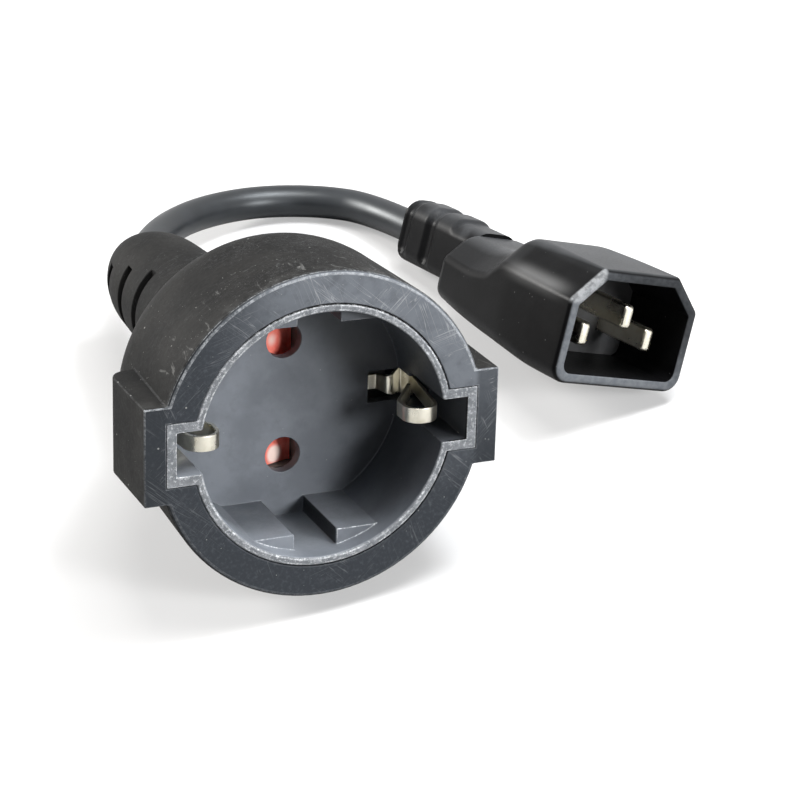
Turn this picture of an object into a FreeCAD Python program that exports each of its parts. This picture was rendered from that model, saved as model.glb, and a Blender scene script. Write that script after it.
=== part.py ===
import FreeCAD, Part
import math
import os
import Sketcher
from FreeCAD import Placement, Rotation, Vector

# A short adapter cord: a round earthed socket coupler with two side clips, a stiff
# looped cord and an inlet plug with three flat pins. Millimetres, +Z up. The socket
# opens towards -Y. The whole rests on the barrel's rear edge, on the loop of cord and
# on the plug, as its rigid mouldings do on a table, so the socket looks slightly up.

SIZES = {
    # socket moulding, measured along the socket's own axis from its front face
    "barrel_radius": 26.2, "edge_break": 0.5, "barrel_length": 20.0,
    "barrel_rear_radius": 25.4, "shoulder_round": 14.5, "shoulder_end": 31.0,
    "shoulder_end_radius": 20.5, "neck_start": 41.5, "neck_start_radius": 14.8,
    "neck_end": 47.0, "relief_radius": 10.9, "dome_start": 75.0,
    "dome_start_radius": 9.2, "dome_round": 33.0, "relief_end": 86.0,
    "relief_end_radius": 5.0, "relief_end_past": 3.0, "exit_offset": 0.6,
    "slot_width": 2.4, "slot_pitch": 9.0, "first_slot": 60.3, "slot_inner": 6.2,
    "slot_first_half": 8.0, "slot_half_step": 2.3,
    "ear_reach": 28.54, "ear_half_height": 7.74, "ear_length": 17.5, "ear_round": 3.0,
    # insert with the recess
    "recess_radius": 19.68, "cup_wall": 1.35, "recess_depth": 17.5, "floor_thick": 2.0,
    "cup_length": 23.5, "rim_break": 0.3, "mould_gap": 0.04,
    "notch_reach": 23.5, "notch_half_height": 3.5, "notch_wall": 1.55,
    "notch_depth": 13.5, "step_reach": 23.1, "step_half_height": 2.6, "step_wall": 0.9,
    "rib_plane": 16.85, "rib_gap": 3.49, "rib_front": 3.14, "rib_edge": 10.4,
    "pin_pitch": 19.0, "pin_hole_radius": 2.9,
    # contact carrier and its cap
    "flange_thick": 2.0, "carrier_half_width": 4.0, "carrier_half_height": 12.9,
    "carrier_end": 38.5, "cap_thick": 1.5, "chamber_radius": 3.25,
    "pin_path_radius": 2.6, "chamber_front": 1.5,
    "tray_left": 13.0, "tray_right": 3.3, "tray_half_height": 12.65, "tray_wall": 0.9,
    "tray_gap": 0.3,
    # sliding shutter and its spring
    "shutter_left": 3.6, "shutter_right": 3.05, "shutter_half_height": 12.4,
    "shutter_gap": 0.35, "shutter_thick": 2.6, "ramp_thin": 0.7, "shutter_bridge": 5.6,
    "spring_radius": 1.05, "spring_wire": 0.35, "spring_turns": 6.0, "spring_gap": 0.1,
    # sleeve contacts and earth bracket
    "sleeve_radius": 3.1, "sleeve_bore": 2.3, "sleeve_slit": 0.8, "sleeve_gap": 0.1,
    "crimp_radius": 1.6, "crimp_bore": 0.95, "crimp_length": 3.5,
    "strip_thick": 0.6, "strip_width": 2.5, "strip_reach": 21.9, "strip_wide": 4.6,
    "hump_start": 16.6, "hump_ridge": 17.9, "hump_rise": 2.55, "hump_end": 20.6,
    "clip_root": 18.0, "clip_right": 20.1, "clip_left": 15.3, "clip_front": 3.3,
    "clip_loop": 2.4, "clip_turn": 7.8, "clip_tip": 19.8, "clip_tip_back": 14.1,
    "strip_bend": 0.5, "window_start": 14.3,
    "tail_place": 8.4, "tail_width": 2.4, "strip_gap": 0.05,
    # cores
    "core_radius": 1.0, "core_ring": 1.24, "bore_radius": 2.45, "cavity_radius": 12.1,
    "cavity_end": 57.0, "core_end_wall": 1.5, "core_lead": 1.8,
    "gather_lead": 3.5, "plug_gather_lead": 7.0,
    # cord
    "cord_radius": 3.05, "last_run": 15.6,
    # inlet plug, measured from the rim of its shroud
    "shroud_crease": 2.2,
    "inlet_half_width": 12.05, "inlet_half_height": 8.2, "inlet_chamfer": 4.65,
    "inlet_corner": 1.6, "inlet_depth": 15.5, "pin_carrier_length": 5.5,
    "relief_box_start": 41.8, "relief_box_half": 5.1, "relief_box_top": 6.25,
    "relief_box_bottom": 5.6, "relief_box_corner": 2.5, "relief_box_taper": 0.55,
    "relief_box_break": 1.0, "plug_relief_end": 64.5,
    "ring_first": 48.2, "groove_depth": 0.6, "groove_side": 3.9, "groove_low": 3.4,
    "groove_place": 53.8, "groove_width": 2.0, "groove_pitch": 7.6,
    "blade_pitch": 14.0, "blade_drop": 1.94, "earth_rise": 4.0, "blade_thick": 2.0,
    "blade_width": 4.0, "blade_inset": 2.7, "earth_lead": 1.65, "blade_tip": 0.5,
    "pin_crimp_radius": 1.5, "pin_crimp_length": 4.0,
    "plug_cavity_half_width": 9.0, "plug_cavity_straight": 27.0, "plug_cavity_top": 3.95,
    "plug_cavity_bottom": 4.2, "plug_cavity_chamfer": 4.0, "plug_cavity_end": 44.0,
    # how the whole stands
    "nose_up": 10.42, "side_down": 6.77, "axis_height": 28.87, "front_to_middle": 41.12,
    "plug_right": 66.15, "plug_back": 27.85, "plug_yaw": 9.8, "plug_roll": 14.2,
}

# The cord's route in the socket's own middle plane: right of the axis, behind the front.
# The last run, which leaves the plug's relief squarely, follows from the sizes.
ROUTE = [(0.6, 86.0), (3.9, 96.6), (12.4, 108.2), (21.9, 115.2), (33.4, 118.1),
         (44.8, 114.8)]

# Sections of the inlet plug from the rim of its shroud to the end of its grip.
SECTION_FIELDS = ("place", "half_width", "top", "bottom", "chamfer", "corner")
SECTIONS = {
    "rim": (0.0, 13.95, 10.05, 10.05, 5.75, 3.0),
    "swell": (9.0, 13.9, 10.05, 9.95, 5.6, 3.0),
    "shroud_end": (17.5, 13.6, 9.95, 9.25, 5.35, 3.0),
    "shoulder": (21.5, 13.2, 9.7, 8.95, 5.2, 3.0),
    "foot": (26.0, 12.6, 6.2, 8.7, 4.9, 3.0),
    "waist": (33.0, 11.65, 5.1, 8.0, 4.8, 2.6),
    "grip_end": (42.8, 10.0, 5.0, 6.8, 4.6, 2.2),
}
for section, values in SECTIONS.items():
    SIZES.update({f"{section}_{field}": value for field, value in zip(SECTION_FIELDS, values)})

doc = FreeCAD.newDocument("adapter_cord")
sheet = doc.addObject("Spreadsheet::Sheet", "Sizes")
for row, (name, value) in enumerate(SIZES.items(), start=1):
    sheet.set(f"A{row}", name)
    sheet.set(f"B{row}", str(value))
    sheet.setAlias(f"B{row}", name)
doc.recompute()


# Half the tangent length of an arc that rounds a corner of an eighth of a turn.
EIGHTH_TURN = math.tan(math.pi / 8)


class Size:
    """A length in millimetres together with the formula over the sheet that gives it."""

    def __init__(self, value, formula):
        self.value = float(value)
        self.formula = formula

    def __add__(self, other):
        return joined(self, other, "+", self.value + number(other))

    def __radd__(self, other):
        return joined(other, self, "+", number(other) + self.value)

    def __sub__(self, other):
        return joined(self, other, "-", self.value - number(other))

    def __rsub__(self, other):
        return joined(other, self, "-", number(other) - self.value)

    def __mul__(self, other):
        return joined(self, other, "*", self.value * number(other))

    def __rmul__(self, other):
        return joined(other, self, "*", number(other) * self.value)

    def __truediv__(self, other):
        return joined(self, other, "/", self.value / number(other))

    def __neg__(self):
        return Size(-self.value, f"(0 - {self.formula})")


def number(size):
    return size.value if isinstance(size, Size) else float(size)


def formula(size):
    return size.formula if isinstance(size, Size) else f"({float(size)})"


def joined(left, right, sign, value):
    return Size(value, f"({formula(left)} {sign} {formula(right)})")


class Sizes:
    """Gives each named size of the sheet as an attribute."""

    def __getattr__(self, name):
        return Size(sheet.get(name), f"Sizes.{name}")


s = Sizes()


# Placements: the socket's own frame has its front face at zero, x to the right, y to
# the back and z up. The plug's frame is laid out the same way from its shroud's rim.
def socket_place():
    turn = Rotation(Vector(1, 0, 0), -s.nose_up.value)
    turn = turn * Rotation(Vector(0, 1, 0), s.side_down.value)
    middle = Vector(0, -s.front_to_middle.value, s.axis_height.value)
    return Placement(middle, turn)


def plug_place():
    turn = Rotation(Vector(0, 0, 1), s.plug_yaw.value)
    turn = turn * Rotation(Vector(0, 1, 0), s.plug_roll.value)
    rim = Vector(s.plug_right.value, s.plug_back.value, 0)
    return socket_place() * Placement(rim, turn)


def new_body(name, place):
    body = doc.addObject("PartDesign::Body", name)
    body.Label = name
    body.Placement = place
    return body


def plane_of(body, role):
    return next(part for part in body.Origin.OriginFeatures if part.Role == role)


def arc_centre(start, end, radius):
    chord = end - start
    half = chord.Length / 2
    side = Vector(-chord.y, chord.x, 0).normalize()
    rise = math.sqrt(max(radius * radius - half * half, 0))
    return (start + end) * 0.5 + side * (rise if radius > 0 else -rise)


def outline(body, role, points, offset=None, name="outline"):
    """Closed sketch. A point is (x, y), or (x, y, radius) where an arc leads to it;
    the arc's centre lies left of the way for a positive radius, right for a negative."""
    sketch = body.newObject("Sketcher::SketchObject", name)
    sketch.AttachmentSupport = [(plane_of(body, role), "")]
    sketch.MapMode = "FlatFace"
    if offset is not None:
        sketch.AttachmentOffset = Placement(Vector(0, 0, number(offset)), Rotation())
        sketch.setExpression("AttachmentOffset.Base.z", formula(offset))
    spots = [Vector(number(p[0]), number(p[1]), 0) for p in points]
    ends = []
    for index, point in enumerate(points):
        start, end = spots[index - 1], spots[index]
        if len(point) == 2:
            edge = sketch.addGeometry(Part.LineSegment(start, end), False)
            ends.append((edge, 1, 2))
            continue
        radius = number(point[2])
        centre = arc_centre(start, end, radius)
        first, last = start - centre, end - centre
        if radius < 0:
            first, last = last, first
        circle = Part.Circle(centre, Vector(0, 0, 1), abs(radius))
        angles = [math.atan2(way.y, way.x) for way in (first, last)]
        edge = sketch.addGeometry(Part.ArcOfCircle(circle, *angles), False)
        ends.append((edge, 1, 2) if radius > 0 else (edge, 2, 1))
    for index, (edge, start, end) in enumerate(ends):
        following = ends[(index + 1) % len(ends)]
        sketch.addConstraint(Sketcher.Constraint("Coincident", edge, end, following[0],
                                                 following[1]))
        if len(points[index]) == 3:
            rule = sketch.addConstraint(Sketcher.Constraint("Radius", edge,
                                                            abs(number(points[index][2]))))
            sketch.setExpression(f"Constraints[{rule}]", f"abs({formula(points[index][2])})")
        for kind, axis, value in (("DistanceX", -2, points[index][0]),
                                  ("DistanceY", -1, points[index][1])):
            if abs(number(value)) < 1e-9:
                sketch.addConstraint(Sketcher.Constraint("PointOnObject", edge, end, axis))
            else:
                rule = sketch.addConstraint(Sketcher.Constraint(kind, -1, 1, edge, end,
                                                                number(value)))
                sketch.setExpression(f"Constraints[{rule}]", formula(value))
    return sketch


def circle_at(body, role, x, y, radius, offset=None, name="circle"):
    sketch = body.newObject("Sketcher::SketchObject", name)
    sketch.AttachmentSupport = [(plane_of(body, role), "")]
    sketch.MapMode = "FlatFace"
    if offset is not None:
        sketch.AttachmentOffset = Placement(Vector(0, 0, number(offset)), Rotation())
        sketch.setExpression("AttachmentOffset.Base.z", formula(offset))
    centre = Vector(number(x), number(y), 0)
    ring = sketch.addGeometry(Part.Circle(centre, Vector(0, 0, 1), number(radius)), False)
    rule = sketch.addConstraint(Sketcher.Constraint("Radius", ring, number(radius)))
    sketch.setExpression(f"Constraints[{rule}]", formula(radius))
    for kind, axis, value in (("DistanceX", -2, x), ("DistanceY", -1, y)):
        if abs(number(value)) < 1e-9:
            sketch.addConstraint(Sketcher.Constraint("PointOnObject", ring, 3, axis))
        else:
            rule = sketch.addConstraint(Sketcher.Constraint(kind, -1, 1, ring, 3,
                                                            number(value)))
            sketch.setExpression(f"Constraints[{rule}]", formula(value))
    return sketch


def swept(body, kind, sketch, length, reverse=False, midplane=False):
    """A pad or a pocket; on the XZ plane the back of the object is the reversed way."""
    feature = body.newObject(f"PartDesign::{kind}", kind.lower())
    feature.Profile = sketch
    feature.Length = number(length)
    feature.setExpression("Length", formula(length))
    feature.Reversed = reverse
    feature.Midplane = midplane
    sketch.Visibility = False
    doc.recompute()
    return feature


def pad_back(body, points, start, depth, name="outline"):
    sketch = outline(body, "XZ_Plane", points, -start if isinstance(start, Size) else None, name)
    return swept(body, "Pad", sketch, depth, reverse=True)


def cut_back(body, points, start, depth, name="outline"):
    sketch = outline(body, "XZ_Plane", points, -start if isinstance(start, Size) else None, name)
    return swept(body, "Pocket", sketch, depth)


def cut_between(body, points, start, length, name="outline"):
    """A pocket that begins at a depth and runs on to the back for a length."""
    sketch = outline(body, "XZ_Plane", points, -start, name)
    return swept(body, "Pocket", sketch, length)


def bore_back(body, x, z, radius, start, depth):
    sketch = circle_at(body, "XZ_Plane", x, z, radius, -start if isinstance(start, Size) else None)
    return swept(body, "Pocket", sketch, depth)


def turned(body, kind, points, name="profile"):
    """A revolution or a groove about the axis that runs from front to back."""
    sketch = outline(body, "XY_Plane", points, name=name)
    feature = body.newObject(f"PartDesign::{kind}", kind.lower())
    feature.Profile = sketch
    feature.ReferenceAxis = (sketch, ["V_Axis"])
    feature.Angle = 360.0
    sketch.Visibility = False
    doc.recompute()
    return feature


def rectangle(left, right, bottom, top):
    return [(left, bottom), (right, bottom), (right, top), (left, top)]


def beside(side, near, far, half):
    """A rectangle to the right of the axis, or its twin to the left."""
    return rectangle(near, far, -half, half) if side > 0 else rectangle(-far, -near, -half, half)


def blocky(half_width, top, bottom, chamfer, corner, crease=None):
    """Section of the inlet plug: two cut corners on top, two rounded ones below."""
    side, level = top - chamfer, half_width - chamfer
    if crease is None:
        upper = [(half_width, side), (level, top), (-level, top), (-half_width, side)]
    else:
        flat, slant = crease * EIGHTH_TURN, crease * EIGHTH_TURN * math.sqrt(0.5)
        upper = [(half_width, side - flat), (half_width - slant, side + slant, crease),
                 (level + slant, top - slant), (level - flat, top, crease),
                 (flat - level, top), (-level - slant, top - slant, crease),
                 (slant - half_width, side + slant), (-half_width, side - flat, crease)]
    return upper + [(-half_width, corner - bottom), (corner - half_width, -bottom, corner),
                    (half_width - corner, -bottom), (half_width, corner - bottom, corner)]


def rounded_box(half_width, top, bottom, corner):
    return [(half_width, top - corner), (half_width - corner, top, corner),
            (corner - half_width, top), (-half_width, top - corner, corner),
            (-half_width, corner - bottom), (corner - half_width, -bottom, corner),
            (half_width - corner, -bottom), (half_width, corner - bottom, corner)]


def cut_box(half_width, top, bottom, chamfer):
    return [(-half_width, -bottom), (half_width, -bottom), (half_width, top - chamfer),
            (half_width - chamfer, top), (chamfer - half_width, top),
            (-half_width, top - chamfer)]


def lofted(body, kind, sections, name):
    """Ruled loft through closed outlines, each given with its place along the axis."""
    sketches = [outline(body, "XZ_Plane", points, -place, name) for place, points in sections]
    feature = body.newObject(f"PartDesign::{kind}", f"{name}_loft")
    feature.Profile = sketches[0]
    feature.Sections = sketches[1:]
    feature.Ruled = True
    doc.recompute()
    return feature


def held_shape(name, shape, place):
    piece = doc.addObject("Part::Feature", name)
    piece.Label = name
    piece.Shape = shape
    piece.Placement = place
    return piece


def rounded_way(spots):
    """The straight runs through the spots with a tangent arc at each turn."""
    edges = []
    radii = []
    last = spots[0]
    for before, here, after in zip(spots, spots[1:], spots[2:]):
        back, ahead = (before - here), (after - here)
        turn = math.pi - back.getAngle(ahead)
        trim = 0.45 * min(back.Length, ahead.Length)
        radii.append(trim / math.tan(turn / 2))
        back.normalize()
        ahead.normalize()
        start, end = here + back * trim, here + ahead * trim
        inward = (back + ahead).normalize()
        far = radii[-1] / math.cos(turn / 2) - radii[-1]
        edges.append(Part.LineSegment(last, start).toShape())
        edges.append(Part.Arc(start, here + inward * far, end).toShape())
        last = end
    edges.append(Part.LineSegment(last, spots[-1]).toShape())
    return Part.Wire(edges), radii


def tube_along(spots, radius):
    path, radii = rounded_way(spots)
    ring = Part.Circle(spots[0], spots[1] - spots[0], radius).toShape()
    tube = path.makePipeShell([Part.Wire([ring])], True, False)
    return tube, path.Length, radii


def bent_edges(corners):
    """Straight runs between corners, each a place and the radius of its tangent arc."""
    edges = []
    last = corners[0][0]
    for (before, start_radius), (here, radius), (after, end_radius) in zip(
            corners, corners[1:], corners[2:]):
        back, ahead = (before - here).normalize(), (after - here).normalize()
        half = (math.pi - back.getAngle(ahead)) / 2
        trim = radius * math.tan(half)
        start, end = here + back * trim, here + ahead * trim
        crown = here + (back + ahead).normalize() * (radius / math.cos(half) - radius)
        edges.append(Part.LineSegment(last, start).toShape())
        edges.append(Part.Arc(start, crown, end).toShape())
        last = end
    edges.append(Part.LineSegment(last, corners[-1][0]).toShape())
    return edges


def bent_strip(corners, thick, width):
    """A flat strip on edge, bent along its middle line, symmetric about the plane z = 0."""
    places = [place for place, radius in corners]
    ways = [(after - before).normalize() for before, after in zip(places, places[1:])]
    banks = {1: [], -1: []}
    for index, (place, radius) in enumerate(corners):
        before, after = ways[max(index - 1, 0)], ways[min(index, len(ways) - 1)]
        lean = Vector(-before.y - after.y, before.x + after.x, 0).normalize()
        reach = thick / 2 / lean.dot(Vector(-after.y, after.x, 0))
        turn = math.copysign(1, before.cross(after).z)
        for side, bank in banks.items():
            bank.append((place + lean * side * reach, radius - side * turn * thick / 2))
    left, right = bent_edges(banks[1]), bent_edges(banks[-1][::-1])
    ends = [Part.LineSegment(banks[1][-1][0], banks[-1][-1][0]).toShape(),
            Part.LineSegment(banks[-1][0][0], banks[1][0][0]).toShape()]
    face = Part.Face(Part.Wire(left + [ends[0]] + right + [ends[1]]))
    face.translate(Vector(0, 0, -width / 2))
    return face.extrude(Vector(0, 0, width))


# Socket: outer moulding
def outer_moulding():
    body = new_body("outer_moulding", socket_place())
    turned(body, "Revolution", [
        (0, 0), (s.barrel_radius - s.edge_break, 0), (s.barrel_radius, s.edge_break),
        (s.barrel_rear_radius, s.barrel_length),
        (s.shoulder_end_radius, s.shoulder_end, s.shoulder_round),
        (s.neck_start_radius, s.neck_start), (s.relief_radius, s.neck_end),
        (s.dome_start_radius, s.dome_start),
        (s.relief_end_radius, s.relief_end + s.relief_end_past, s.dome_round),
        (0, s.relief_end + s.relief_end_past)])
    for side in (1, -1):
        ear = outline(body, "XY_Plane", [
            (side * s.recess_radius, 0), (side * s.ear_reach, 0),
            (side * s.ear_reach, s.ear_length - s.ear_round),
            (side * (s.ear_reach - s.ear_round), s.ear_length, side * s.ear_round),
            (side * s.recess_radius, s.ear_length)], name="ear")
        swept(body, "Pad", ear, s.ear_half_height * 2, midplane=True)
    cut_insert_room(body)
    cut_wire_room(body)
    cut_slots(body)
    return body


def step_back():
    """Back of the narrow part of each notch, just behind the earth strip."""
    return s.recess_depth + s.floor_thick + s.strip_thick + s.strip_gap * 2 + s.step_wall


def cut_insert_room(body):
    bore = s.recess_radius + s.cup_wall + s.mould_gap
    back = s.cup_length + s.flange_thick + s.mould_gap
    turned(body, "Groove", [(0, -1), (bore, -1), (bore, back), (0, back)], "bore")
    reach = s.notch_reach + s.notch_wall + s.mould_gap
    half = s.notch_half_height + s.notch_wall + s.mould_gap
    cut_back(body, rectangle(-reach, reach, -half, half), None,
             s.notch_depth + s.notch_wall + s.mould_gap, "notches")
    reach = s.step_reach + s.step_wall + s.mould_gap
    half = s.step_half_height + s.step_wall + s.mould_gap
    cut_back(body, rectangle(-reach, reach, -half, half), None,
             step_back() + s.mould_gap, "steps")
    wide, high = s.carrier_half_width + s.mould_gap, s.carrier_half_height + s.mould_gap
    cut_back(body, rectangle(-wide, wide, -high, high), None,
             s.carrier_end + s.cap_thick + s.mould_gap, "carrier_room")
    low = s.tail_place - s.strip_thick
    high = s.tail_place + s.strip_thick
    half = s.tail_width / 2 + s.strip_gap
    cut_back(body, rectangle(low, high, -half, half), None,
             s.carrier_end + s.cap_thick + 1, "tail_room")


def cut_wire_room(body):
    front = s.carrier_end + s.cap_thick
    turned(body, "Groove", [
        (0, front - 1), (s.cavity_radius, front - 1), (s.cavity_radius, front + s.crimp_length),
        (s.bore_radius, s.cavity_end), (s.bore_radius, s.relief_end - s.core_end_wall),
        (0, s.relief_end - s.core_end_wall)], "wire_room")
    # the end of the relief is square to the cord, which leaves it at an angle
    first, second = Vector(*ROUTE[0], 0), Vector(*ROUTE[1], 0)
    way = (second - first).normalize()
    across = Vector(way.y, -way.x, 0)
    wide, deep = 3 * s.relief_end_radius.value, 4 * s.relief_end_past.value
    corners = [first - across * wide, first + across * wide,
               first + across * wide + way * deep, first - across * wide + way * deep]
    end = outline(body, "XY_Plane", [(point.x, point.y) for point in corners], name="end")
    swept(body, "Pocket", end, s.relief_radius * 3, midplane=True)


def cut_slots(body):
    """Pockets on both sides of the relief, shorter the nearer they are to its end."""
    for index in range(3):
        low = s.first_slot + index * s.slot_pitch
        half = s.slot_first_half - index * s.slot_half_step
        for side in (1, -1):
            corners = beside(side, s.slot_inner, s.barrel_radius, half)
            cut_between(body, corners, low, s.slot_width)


# Socket: insert with the recess
def socket_cup():
    body = new_body("socket_cup", socket_place())
    outer = s.recess_radius + s.cup_wall
    floor_back = s.recess_depth + s.floor_thick
    turned(body, "Revolution", [
        (0, s.recess_depth), (s.recess_radius, s.recess_depth),
        (s.recess_radius, s.rim_break), (s.recess_radius + s.rim_break, 0),
        (outer - s.rim_break, 0), (outer, s.rim_break), (outer, s.cup_length),
        (s.recess_radius, s.cup_length), (s.recess_radius, floor_back), (0, floor_back)])
    half = s.notch_half_height + s.notch_wall
    reach = s.notch_reach + s.notch_wall
    step_half = s.step_half_height + s.step_wall
    step_reach = s.step_reach + s.step_wall
    inner = s.recess_radius + s.rim_break
    near = s.recess_radius / 2
    for side in (1, -1):
        pad_back(body, beside(side, inner, reach, half), None,
                 s.notch_depth + s.notch_wall, "notch_wall")
        pad_back(body, beside(side, inner, step_reach, step_half), None, step_back(),
                 "step_wall")
        cut_back(body, beside(side, near, s.notch_reach, s.notch_half_height), None,
                 s.notch_depth, "notch")
        cut_back(body, beside(side, s.window_start, s.step_reach, s.step_half_height), None,
                 floor_back + s.strip_thick + s.strip_gap * 2, "step")
    for side in (1, -1):
        for level in (1, -1):
            low, high = level * s.rib_plane, level * (s.rib_plane + 1)
            corners = [(side * s.rib_gap, low), (side * s.rib_edge, low),
                       (side * s.rib_edge, high), (side * s.rib_gap, level * 20.2)]
            pad_back(body, corners, s.rib_front, s.recess_depth + 1 - s.rib_front, "rib")
    for level in (1, -1):
        bore_back(body, 0, level * s.pin_pitch / 2, s.pin_hole_radius, None, floor_back + 1)
    return body


def contact_carrier():
    body = new_body("contact_carrier", socket_place())
    outer = s.recess_radius + s.cup_wall
    front = s.cup_length
    turned(body, "Revolution", [(0, front), (outer, front), (outer, front + s.flange_thick),
                                (0, front + s.flange_thick)])
    pad_back(body, rectangle(-s.carrier_half_width, s.carrier_half_width,
                             -s.carrier_half_height, s.carrier_half_height),
             front, s.carrier_end - front, "block")
    tray = s.recess_depth + s.floor_thick + s.strip_thick + s.tray_gap
    pad_back(body, rectangle(-s.tray_left - s.tray_wall, s.tray_right + s.tray_wall,
                             -s.tray_half_height - s.tray_wall,
                             s.tray_half_height + s.tray_wall), tray, front - tray, "tray")
    cut_back(body, rectangle(-s.tray_left, s.tray_right, -s.tray_half_height,
                             s.tray_half_height), None, front, "slide_way")
    half = s.tail_width / 2 + s.strip_gap
    cut_back(body, rectangle(s.tail_place - s.strip_thick, s.tail_place + s.strip_thick,
                             -half, half), None, front + s.flange_thick + 1, "tail_slot")
    for level in (1, -1):
        height = level * s.pin_pitch / 2
        bore_back(body, 0, height, s.pin_path_radius, None, s.carrier_end)
        bore_back(body, 0, height, s.chamber_radius, front + s.chamber_front,
                  s.carrier_end - front)
    return body


def carrier_cap():
    body = new_body("carrier_cap", socket_place())
    pad_back(body, rectangle(-s.carrier_half_width, s.carrier_half_width,
                             -s.carrier_half_height, s.carrier_half_height),
             s.carrier_end, s.cap_thick)
    for level in (1, -1):
        bore_back(body, 0, level * s.pin_pitch / 2, s.crimp_radius + s.mould_gap,
                  s.carrier_end - 1, s.cap_thick + 2)
    return body


def shutter():
    body = new_body("shutter", socket_place())
    front = s.recess_depth + s.floor_thick + s.strip_thick + s.shutter_gap
    pad_back(body, rectangle(-s.shutter_left, s.shutter_right, -s.shutter_half_height,
                             s.shutter_half_height), front, s.shutter_thick)
    # each pin pushes on a ramp that is thin at the right and thick at the left
    deep = front + s.shutter_thick - s.ramp_thin
    for level in (1, -1):
        ramp = outline(body, "XY_Plane", [
            (-s.shutter_left + s.ramp_thin, front - 1), (s.shutter_right + 1, front - 1),
            (s.shutter_right + 1, deep), (s.shutter_right - s.ramp_thin, deep),
            (-s.shutter_left + s.ramp_thin, front)],
            (s.shutter_bridge + s.shutter_half_height * 2) * level / 2, "ramp")
        swept(body, "Pocket", ramp, s.shutter_half_height * 2 - s.shutter_bridge,
              midplane=True)
    return body


def sleeve_contact(name, level):
    body = new_body(name, socket_place())
    height = level * s.pin_pitch / 2
    front = s.cup_length + s.chamber_front + s.sleeve_gap
    back = s.carrier_end - s.sleeve_gap
    tube = circle_at(body, "XZ_Plane", 0, height, s.sleeve_radius, -front)
    swept(body, "Pad", tube, back - front, reverse=True)
    crimp = circle_at(body, "XZ_Plane", 0, height, s.crimp_radius, -back)
    swept(body, "Pad", crimp, s.sleeve_gap + s.cap_thick + s.crimp_length, reverse=True)
    bore_back(body, 0, height, s.sleeve_bore, None, back - s.cap_thick)
    half = s.sleeve_slit / 2
    reach = s.sleeve_radius + 1
    cut_back(body, rectangle(-reach, reach, height - half, height + half), None,
             back - s.cap_thick * 2, "slit")
    return body


def bracket_way():
    """Middle line of the right half of the earth strip, seen from above."""
    bar = s.recess_depth.value + s.floor_thick.value + s.strip_gap.value + s.strip_thick.value / 2
    bend, loop = s.strip_bend.value, s.clip_loop.value
    corners = [(0, bar, 0), (s.hump_start.value, bar, bend),
               (s.hump_ridge.value, bar - s.hump_rise.value, bend),
               (s.hump_end.value, bar, bend),
               (s.strip_reach.value, s.clip_root.value, 2 * bend),
               (s.clip_right.value, s.clip_front.value, loop),
               (s.clip_left.value, s.clip_front.value, loop),
               (s.clip_left.value, s.clip_turn.value, 3 * bend),
               (s.clip_tip.value, s.clip_tip_back.value, 0)]
    return [(Vector(x, y, 0), radius) for x, y, radius in corners]


def slim(strip):
    """Takes the strip's width down from its widest, which it keeps at the bends only."""
    narrow, wide = s.strip_width.value / 2, s.strip_wide.value / 2
    root, far = s.clip_root.value - s.strip_thick.value, s.strip_reach.value * 1.5
    start, end = s.hump_start.value, s.hump_end.value
    for side in (1, -1):
        room = Part.makeBox(far, root, wide, Vector(0, 0, narrow if side > 0 else -narrow - wide))
        edge = [Vector(0, 0, side * narrow), Vector(start, 0, side * narrow),
                Vector(end, 0, side * wide), Vector(end, 0, side * 2 * wide),
                Vector(0, 0, side * 2 * wide)]
        flank = Part.Face(Part.makePolygon(edge + edge[:1])).extrude(Vector(0, far, 0))
        strip = strip.cut(room).cut(flank)
    return strip


def earth_bracket():
    """One bent strip: a bar behind the floor, two arms with looped clips and a tail."""
    thick = s.strip_thick.value
    bar = s.recess_depth.value + s.floor_thick.value + s.strip_gap.value
    arm = slim(bent_strip(bracket_way(), thick, s.strip_wide.value))
    other = arm.mirror(Vector(0, 0, 0), Vector(1, 0, 0))
    tail_end = s.carrier_end.value + s.cap_thick.value
    tail = Part.makeBox(thick, tail_end - bar, s.tail_width.value,
                        Vector(s.tail_place.value - thick / 2, bar, -s.tail_width.value / 2))
    start = Vector(s.tail_place.value, tail_end, 0)
    crimp = Part.makeCylinder(s.crimp_radius.value, s.crimp_length.value, start,
                              Vector(0, 1, 0))
    whole = arm.fuse([other, tail, crimp]).removeSplitter()
    return held_shape("earth_bracket", whole, socket_place())


def shutter_spring():
    """Coil that holds the shutter over the holes, between it and the tray's wall."""
    radius, wire, turns = s.spring_radius.value, s.spring_wire.value, s.spring_turns.value
    gap = s.spring_gap.value
    length = s.tray_left.value - s.shutter_left.value - 2 * gap - wire
    front = s.recess_depth + s.floor_thick + s.strip_thick + s.shutter_gap
    middle = (front + s.shutter_thick / 2).value
    helix = Part.makeHelix(length / turns, length, radius)
    ring = Part.Circle(Vector(radius, 0, 0), Vector(0, 1, 0), wire / 2).toShape()
    coil = Part.Wire(helix).makePipeShell([Part.Wire([ring])], True, True)
    start = Placement(Vector(-s.tray_left.value + gap + wire / 2, middle, 0),
                      Rotation(Vector(0, 1, 0), 90))
    return held_shape("shutter_spring", coil, socket_place() * start)


def spread(order, ring, back):
    """Place of one of the three cores where they lie together."""
    angle = math.radians(90 + 120 * order)
    return Vector(ring * math.cos(angle), back, ring * math.sin(angle))


def core(name, start, order, gather, end, place):
    ring = s.core_ring.value
    spots = [start, start + Vector(0, s.core_lead.value, 0), spread(order, ring, gather),
             spread(order, ring, end)]
    shape, length, radii = tube_along(spots, s.core_radius.value)
    return held_shape(name, shape, place)


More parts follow.
